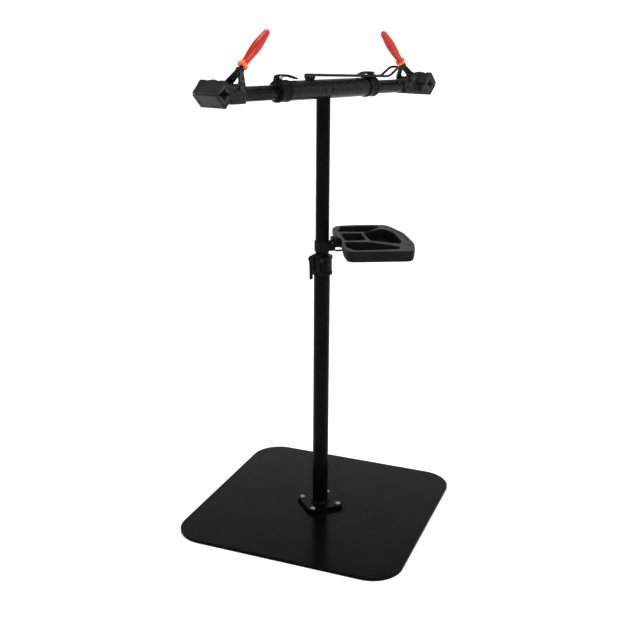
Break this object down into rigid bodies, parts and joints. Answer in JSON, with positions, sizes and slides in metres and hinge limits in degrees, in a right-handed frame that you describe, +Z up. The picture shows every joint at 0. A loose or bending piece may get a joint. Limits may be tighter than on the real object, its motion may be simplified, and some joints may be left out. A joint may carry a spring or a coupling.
{
  "type": "bike repair stand",
  "caption": "Free-standing bike repair stand with a square floor plate, telescoping mast, cross beam with telescoping arms and lever clamps, and a swivelling tool tray.",
  "frame": {"origin": "on the floor, under the middle of the mast and of the square plate", "axes": "+Z up along the mast; +X and +Y along the sides of the floor plate, with the beam's right-hand clamp 70 degrees round from +X towards +Y"},
  "size_m": [0.7, 0.9108, 1.4594],
  "materials": {
    "plate_coat": "satin",
    "powder_coat": "satin",
    "cast_metal": "satin",
    "zinc_steel": "satin",
    "dark_steel": "satin",
    "black_plastic": "matte",
    "jaw_rubber": "matte",
    "red_grip": "satin"
  },
  "bodies": {
    "base": {"base_plate": "plate_coat", "foot_flange": "powder_coat", "foot_bolt_1": "zinc_steel", "foot_bolt_2": "zinc_steel", "foot_bolt_3": "zinc_steel", "foot_bolt_4": "zinc_steel", "lower_mast_tube": "powder_coat", "mast_guide_bush": "black_plastic", "height_clamp_band": "cast_metal", "height_clamp_axle": "dark_steel", "height_clamp_nut": "dark_steel", "height_clamp_screw": "dark_steel"},
    "height_lever": {"height_clamp_lever": "black_plastic"},
    "glide": {"mast_glide_ring": "black_plastic"},
    "mast": {"upper_mast_tube": "powder_coat", "mast_top_plug": "black_plastic", "beam_screw_1": "dark_steel", "beam_screw_2": "dark_steel", "beam_tube": "powder_coat", "hanger_bracket": "cast_metal", "wire_hanger": "powder_coat", "arm_bush_left": "black_plastic", "arm_collar_left": "cast_metal", "arm_lock_pin_left": "zinc_steel", "arm_bush_right": "black_plastic", "arm_collar_right": "cast_metal", "arm_lock_pin_right": "zinc_steel"},
    "tray": {"tray_body": "black_plastic", "tray_band": "cast_metal", "tray_band_screw": "zinc_steel", "tray_bracket": "cast_metal", "tray_wire": "dark_steel"},
    "arm_lock_left": {"arm_lock_lever_left": "black_plastic"},
    "arm_left": {"arm_tube_left": "powder_coat", "arm_rail_left": "dark_steel"},
    "head_left": {"clamp_block_left": "cast_metal", "clamp_bolt_left": "zinc_steel", "clamp_set_screw_left": "dark_steel", "lower_jaw_left": "cast_metal", "lower_pad_left": "jaw_rubber", "jaw_hinge_pin_left": "zinc_steel", "lever_pin_left": "zinc_steel"},
    "jaw_left": {"upper_jaw_left": "cast_metal", "upper_pad_left": "jaw_rubber"},
    "lever_left": {"clamp_lever_left": "dark_steel", "lever_grip_left": "red_grip"},
    "arm_lock_right": {"arm_lock_lever_right": "black_plastic"},
    "arm_right": {"arm_tube_right": "powder_coat", "arm_rail_right": "dark_steel"},
    "head_right": {"clamp_block_right": "cast_metal", "clamp_bolt_right": "zinc_steel", "clamp_set_screw_right": "dark_steel", "lower_jaw_right": "cast_metal", "lower_pad_right": "jaw_rubber", "jaw_hinge_pin_right": "zinc_steel", "lever_pin_right": "zinc_steel"},
    "jaw_right": {"upper_jaw_right": "cast_metal", "upper_pad_right": "jaw_rubber"},
    "lever_right": {"clamp_lever_right": "dark_steel", "lever_grip_right": "red_grip"}
  },
  "joints": [
    {"name": "mast_height", "type": "slide", "parent": "base", "child": "glide", "axis": [0, 0, 1], "range_m": [0, 0.25]},
    {"name": "mast_turn", "type": "hinge", "parent": "glide", "child": "mast", "pos_m": [0, 0, 0.48], "axis": [0, 0, 1], "continuous": true},
    {"name": "height_clamp_lever", "type": "hinge", "parent": "base", "child": "height_lever", "pos_m": [-0.01843, -0.03854, 0.819], "axis": [-0.9962, 0.0872, 0], "range_deg": [0, 140]},
    {"name": "tray_swivel", "type": "hinge", "parent": "mast", "child": "tray", "pos_m": [0, 0, 0.85], "axis": [0, 0, 1], "continuous": true},
    {"name": "arm_slide_left", "type": "slide", "parent": "mast", "child": "arm_left", "axis": [-0.342, -0.9397, 0], "range_m": [-0.06, 0.05]},
    {"name": "arm_lock_left", "type": "hinge", "parent": "mast", "child": "arm_lock_left", "pos_m": [-0.06327, -0.17384, 1.3375], "axis": [0.9397, -0.342, 0], "range_deg": [0, 100]},
    {"name": "clamp_roll_left", "type": "hinge", "parent": "arm_left", "child": "head_left", "pos_m": [-0.14262, -0.39185, 1.294], "axis": [-0.342, -0.9397, 0], "continuous": true},
    {"name": "clamp_lever_left", "type": "hinge", "parent": "head_left", "child": "lever_left", "pos_m": [-0.118, -0.32419, 1.318], "axis": [0.9397, -0.342, 0], "range_deg": [0, 62]},
    {"name": "jaw_left", "type": "hinge", "parent": "head_left", "child": "jaw_left", "pos_m": [-0.12963, -0.35614, 1.308], "axis": [0.9397, -0.342, 0], "range_deg": [-26.14, 0.1]},
    {"name": "arm_slide_right", "type": "slide", "parent": "mast", "child": "arm_right", "axis": [0.342, 0.9397, 0], "range_m": [-0.015, 0.036]},
    {"name": "arm_lock_right", "type": "hinge", "parent": "mast", "child": "arm_lock_right", "pos_m": [0.07353, 0.20203, 1.3375], "axis": [-0.9397, 0.342, 0], "range_deg": [0, 100]},
    {"name": "clamp_roll_right", "type": "hinge", "parent": "arm_right", "child": "head_right", "pos_m": [0.15767, 0.4332, 1.294], "axis": [0.342, 0.9397, 0], "continuous": true},
    {"name": "clamp_lever_right", "type": "hinge", "parent": "head_right", "child": "lever_right", "pos_m": [0.13305, 0.36554, 1.318], "axis": [-0.9397, 0.342, 0], "range_deg": [0, 62]},
    {"name": "jaw_right", "type": "hinge", "parent": "head_right", "child": "jaw_right", "pos_m": [0.14467, 0.39749, 1.308], "axis": [-0.9397, 0.342, 0], "range_deg": [-26.14, 0.1]}
  ],
  "couplings": [
    {"joint": "jaw_left", "follows": "clamp_lever_left", "ratio": -0.42},
    {"joint": "jaw_right", "follows": "clamp_lever_right", "ratio": -0.42}
  ]
}
